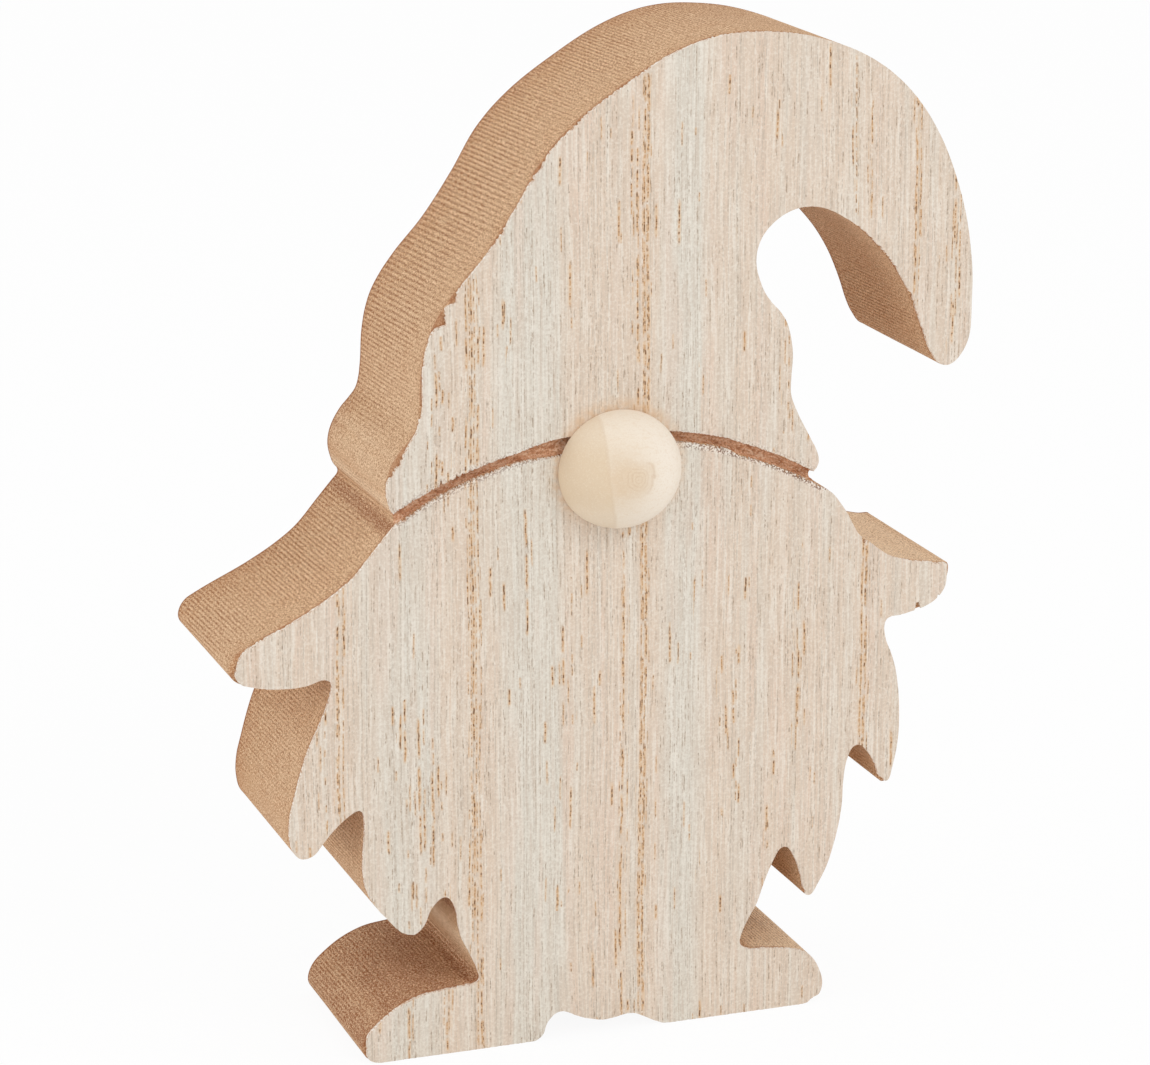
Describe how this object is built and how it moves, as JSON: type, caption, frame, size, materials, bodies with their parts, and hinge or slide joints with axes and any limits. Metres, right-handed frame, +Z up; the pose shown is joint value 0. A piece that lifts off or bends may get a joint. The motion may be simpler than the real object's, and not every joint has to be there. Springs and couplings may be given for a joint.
{
  "type": "wooden gnome figure",
  "caption": "Flat free-standing gnome figure sawn from thick veneered fibreboard, with a hooked pointed hat, a routed brim groove and a domed button nose.",
  "frame": {"origin": "on the floor, in the middle of the figure's overall width and depth", "axes": "+Z up through the hat; the face with the nose looks along -Y; +X runs to the viewer's right, towards the hat's hooked tip"},
  "size_m": [0.097, 0.0318, 0.128],
  "materials": {
    "fibreboard": "bare routed fibreboard edge, matt",
    "veneer": "open-pored veneer under a thin white wash, matt",
    "turned_wood": "bare pale wood, turned and sanded smooth"
  },
  "bodies": {
    "root": {"core_board": "fibreboard", "hat_veneer": "veneer", "body_veneer": "veneer", "back_veneer": "veneer", "nose": "turned_wood"}
  },
  "joints": []
}
